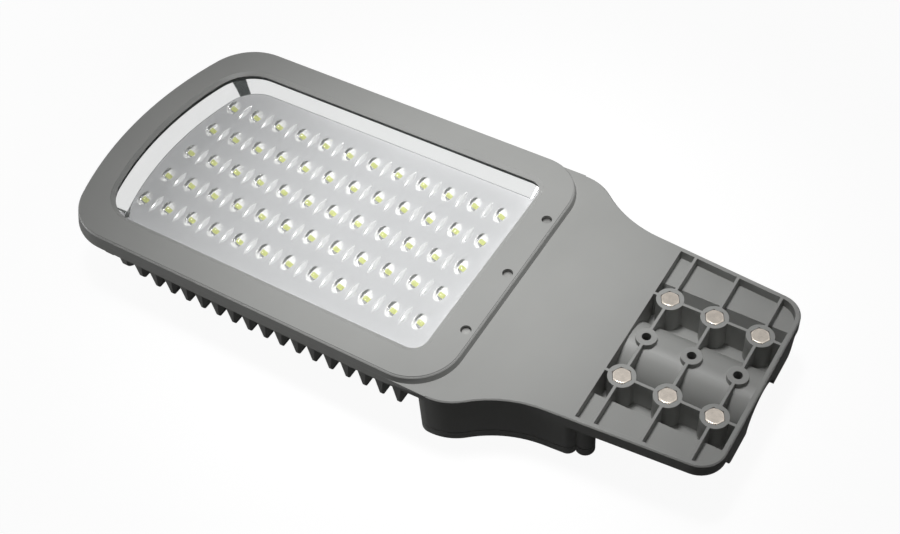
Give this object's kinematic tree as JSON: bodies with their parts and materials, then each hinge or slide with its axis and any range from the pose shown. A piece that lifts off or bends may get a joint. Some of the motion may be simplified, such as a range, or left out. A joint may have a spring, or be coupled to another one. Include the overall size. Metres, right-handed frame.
{
  "type": "led street light",
  "caption": "Flat LED street light head with a finned die-cast body, framed glass window over a lens panel, narrow neck and a ribbed bolted clamp channel for a tube arm.",
  "frame": {"origin": "on the arm tube's axis, at the mouth of the clamp channel", "axes": "+X along the arm, out of the channel's mouth; +Z the way the light shines; +Y completes a right-handed frame"},
  "size_m": [0.5794, 0.2508, 0.0681],
  "materials": {
    "cast_grey": "satin grey powder coat on die-cast aluminium",
    "frame_grey": "satin grey powder coat on die-cast aluminium",
    "clear_glass": "clear toughened glass",
    "black_rubber": "matte black silicone rubber",
    "mirror_sheet": "bright mirror-finished sheet",
    "optic": "clear moulded optic over a white board",
    "board_white": "white solder mask on an aluminium core",
    "emitter": "yellow phosphor on a white package",
    "steel": "zinc-plated steel",
    "driver_case": "plastic driver case",
    "terminal_plastic": "white moulded terminal block"
  },
  "bodies": {
    "root": {"housing": "cast_grey", "front_frame": "frame_grey", "frame_screws": "steel", "glass_cover": "clear_glass", "glass_seal": "black_rubber", "reflector_ring": "mirror_sheet", "lens_panel": "optic", "led_board": "board_white", "leds": "emitter", "board_screws": "steel", "driver": "driver_case", "driver_screws": "steel", "terminal_block": "terminal_plastic", "earth_terminal": "steel", "driver_cover": "cast_grey", "cover_seal": "black_rubber", "cover_screws": "steel", "cable_grommet": "black_rubber", "wire_grommet": "black_rubber", "pole_clamp": "cast_grey", "clamp_bolts": "steel", "clamp_washers": "steel", "clamp_nuts": "steel"}
  },
  "joints": []
}
